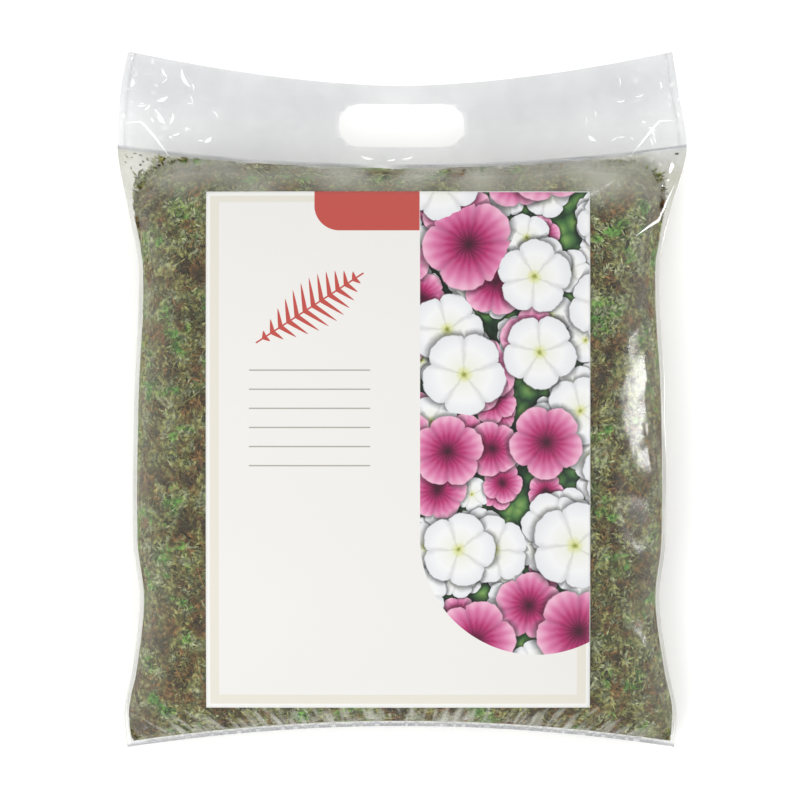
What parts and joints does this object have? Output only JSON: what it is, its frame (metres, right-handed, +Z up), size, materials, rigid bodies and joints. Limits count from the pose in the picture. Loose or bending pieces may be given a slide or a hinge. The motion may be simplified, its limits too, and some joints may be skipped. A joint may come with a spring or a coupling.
{
  "type": "bag of sphagnum moss",
  "caption": "Clear pillow bag packed with matted green and brown sphagnum moss, with a welded header, a die-cut hand hole and a plain printed front label, lying on its back.",
  "frame": {"origin": "on the surface that the bag lies on, under the middle of the bag's outline seen from above", "axes": "+Z up, out of the labelled front; +Y up the bag, from its bottom weld to its header; +X to the right, seen from above"},
  "size_m": [0.4108, 0.5027, 0.1061],
  "materials": {
    "film": "gloss",
    "moss": "matte",
    "label": "satin"
  },
  "bodies": {
    "root": {"bag_front_film": "film", "bag_back_film": "film", "moss_clump": "moss", "front_label": "label"}
  },
  "joints": []
}
